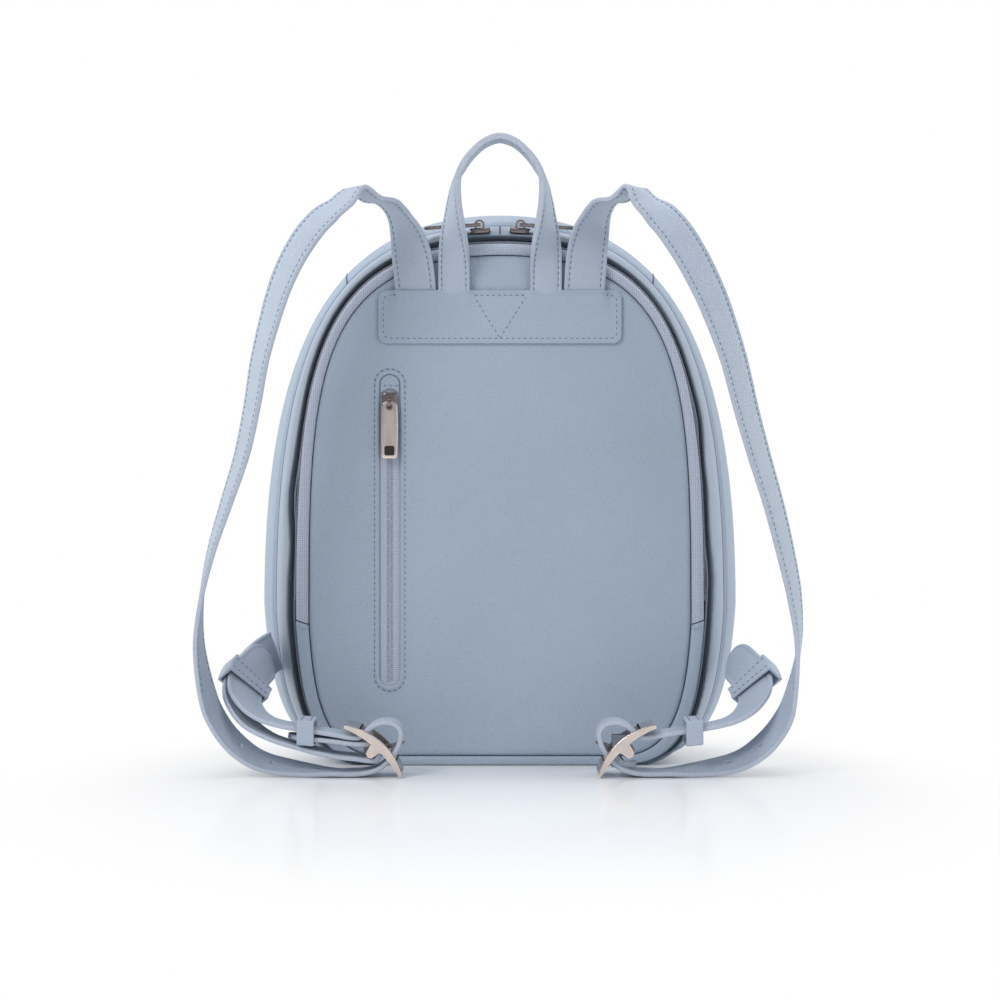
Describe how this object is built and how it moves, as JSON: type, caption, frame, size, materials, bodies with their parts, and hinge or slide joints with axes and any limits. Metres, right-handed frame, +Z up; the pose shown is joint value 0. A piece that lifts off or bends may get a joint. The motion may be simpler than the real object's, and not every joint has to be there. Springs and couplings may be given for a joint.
{
  "type": "backpack",
  "caption": "Slim rounded leather backpack standing on its base, with a zipped back panel, pocket zip, top handle and buckled shoulder straps.",
  "frame": {"origin": "middle of the bag's flat base, on the surface it stands on", "axes": "+Z up, -Y toward the wearer's back where the straps are, +X to the right of a person who looks at the back panel"},
  "size_m": [0.2941, 0.1643, 0.3132],
  "materials": {
    "leather": "fine pebbled grain, soft sheen",
    "strap_leather": "fine pebbled grain, soft sheen, raw pinkish edges",
    "zip_tape": "woven tape",
    "metal": "pale polished plating"
  },
  "bodies": {
    "bag": {"front_panel": "leather", "rim_band": "leather", "gusset": "leather", "back_panel": "leather", "base_strip": "leather", "zip_end_tab_left": "leather", "zip_end_tab_right": "leather", "main_zip_tape": "zip_tape", "pocket_zip_tape": "zip_tape", "pocket_zip_flap": "leather", "yoke": "leather", "handle": "strap_leather", "shoulder_strap_left": "strap_leather", "shoulder_strap_right": "strap_leather", "anchor_strap_left": "strap_leather", "anchor_strap_right": "strap_leather", "keeper_upper_left": "strap_leather", "keeper_upper_right": "strap_leather", "keeper_lower_left": "strap_leather", "keeper_lower_right": "strap_leather", "buckle_frame_left": "metal", "buckle_frame_right": "metal", "buckle_pin_left": "metal", "buckle_pin_right": "metal", "buckle_prong_left": "metal", "buckle_prong_right": "metal", "pocket_slider": "metal", "main_left_slider": "metal", "main_right_slider": "metal"},
    "pocket_pull": {"pocket_pull": "metal"},
    "main_left_pull": {"main_left_pull": "metal"},
    "main_right_pull": {"main_right_pull": "metal"}
  },
  "joints": [
    {"name": "pocket_pull_hinge", "type": "hinge", "parent": "bag", "child": "pocket_pull", "pos_m": [-0.055, -0.0559, 0.18085], "axis": [-1, 0, 0], "range_deg": [0, 165]},
    {"name": "main_left_pull_hinge", "type": "hinge", "parent": "bag", "child": "main_left_pull", "pos_m": [-0.0103, -0.0461, 0.27063], "axis": [0, 0.9903, 0.1392], "range_deg": [0, 105]},
    {"name": "main_right_pull_hinge", "type": "hinge", "parent": "bag", "child": "main_right_pull", "pos_m": [0.0103, -0.0461, 0.27063], "axis": [0, -0.9903, -0.1392], "range_deg": [0, 105]}
  ]
}
